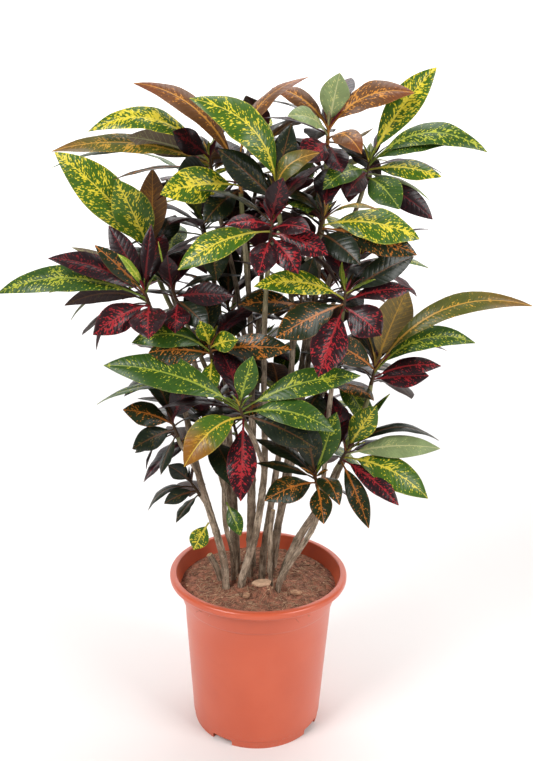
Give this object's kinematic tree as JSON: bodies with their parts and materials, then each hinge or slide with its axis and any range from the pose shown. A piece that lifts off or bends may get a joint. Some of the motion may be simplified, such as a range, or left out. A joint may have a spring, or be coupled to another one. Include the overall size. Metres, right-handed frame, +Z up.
{
  "type": "potted croton",
  "caption": "Bushy potted croton: thin round flexible nursery pot with a rolled lip, coir soil, woody stems and spreading crowns of glossy green, yellow, orange and maroon leaves.",
  "frame": {"origin": "centre of the pot's flat centre pad, on the plane that the pot stands on", "axes": "+Z up the plant; -Y towards the side that the plant is shown from; +X to that side's right"},
  "size_m": [0.624, 0.3679, 0.86],
  "materials": {
    "pot": "satin terracotta-coloured plastic",
    "soil": null,
    "bark": "rough grey-brown ridged bark",
    "bark_chips": "dry orange-brown bark flakes",
    "leaf": null
  },
  "bodies": {
    "root": {"bark_chip_large": "bark_chips", "bark_chip_small": "bark_chips", "bark_curl": "bark_chips", "crown_back_base_left": "leaf", "crown_back_base_right": "leaf", "crown_back_left_high": "leaf", "crown_back_left_low": "leaf", "crown_back_left_mid": "leaf", "crown_back_mid": "leaf", "crown_back_mid_low": "leaf", "crown_back_right_high": "leaf", "crown_back_right_low": "leaf", "crown_back_right_mid": "leaf", "crown_back_top": "leaf", "crown_base_left": "leaf", "crown_centre": "leaf", "crown_centre_right": "leaf", "crown_inner_left": "leaf", "crown_inner_left_high": "leaf", "crown_inner_left_low": "leaf", "crown_inner_mid_low": "leaf", "crown_inner_right": "leaf", "crown_inner_right_low": "leaf", "crown_inner_top": "leaf", "crown_inner_top_left": "leaf", "crown_left_high": "leaf", "crown_left_inner": "leaf", "crown_left_low": "leaf", "crown_left_mid": "leaf", "crown_low_centre": "leaf", "crown_low_left": "leaf", "crown_low_right": "leaf", "crown_low_right_front": "leaf", "crown_mid_centre": "leaf", "crown_mid_left": "leaf", "crown_right_high": "leaf", "crown_right_inner": "leaf", "crown_right_mid": "leaf", "crown_top_left": "leaf", "crown_top_mid": "leaf", "crown_top_right_inner": "leaf", "leaf_stem_left": "leaf", "leaf_stem_thin": "leaf", "pot": "pot", "soil": "soil", "stem_back_left": "bark", "stem_back_mid": "bark", "stem_back_right": "bark", "stem_centre": "bark", "stem_front": "bark", "stem_left_back": "bark", "stem_left_front": "bark", "stem_left_thin": "bark", "stem_mid": "bark", "stem_right": "bark", "stem_right_back": "bark", "stem_right_front": "bark", "stem_sawn_off": "bark", "stem_snapped": "bark"}
  },
  "joints": []
}
